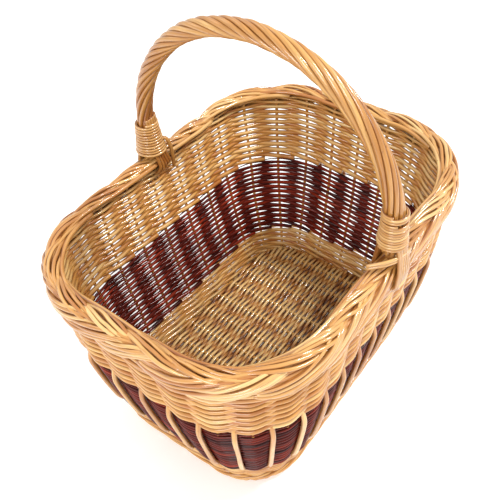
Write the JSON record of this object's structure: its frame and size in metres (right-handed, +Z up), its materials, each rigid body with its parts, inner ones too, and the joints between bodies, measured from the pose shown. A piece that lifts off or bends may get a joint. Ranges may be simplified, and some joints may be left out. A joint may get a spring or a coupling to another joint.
{
  "type": "woven market basket",
  "caption": "Rounded rectangular willow basket with flared woven sides, a dark woven band, a plaited border and a fixed rope-twisted bow handle.",
  "frame": {"origin": "middle of the footprint, on the plane the basket stands on", "axes": "+X along the basket's length, +Y across it in the plane of the bow handle, +Z up"},
  "size_m": [0.43, 0.3312, 0.4455],
  "materials": {
    "natural_willow": "satin",
    "base_willow": "satin",
    "dark_willow": "satin",
    "border_willow": "satin",
    "handle_willow": "satin, slightly glossy",
    "binding_willow": "satin, slightly glossy"
  },
  "bodies": {
    "root": {"base_sticks": "natural_willow", "base_weave": "base_willow", "foot_border": "natural_willow", "foot_wale": "natural_willow", "lower_band": "natural_willow", "dark_band": "dark_willow", "upper_band": "natural_willow", "stakes_long_sides": "natural_willow", "stakes_short_sides": "natural_willow", "stakes_corners": "natural_willow", "bars_long_sides": "natural_willow", "bars_short_sides": "natural_willow", "bars_corners": "natural_willow", "border_plait": "border_willow", "border_inner_rod": "border_willow", "border_outer_rod": "border_willow", "handle_core": "handle_willow", "handle_rods": "handle_willow", "binding_left": "binding_willow", "binding_right": "binding_willow", "handle_ties_left_outside": "handle_willow", "handle_ties_left_inside": "handle_willow", "handle_ties_right_outside": "handle_willow", "handle_ties_right_inside": "handle_willow"}
  },
  "joints": []
}
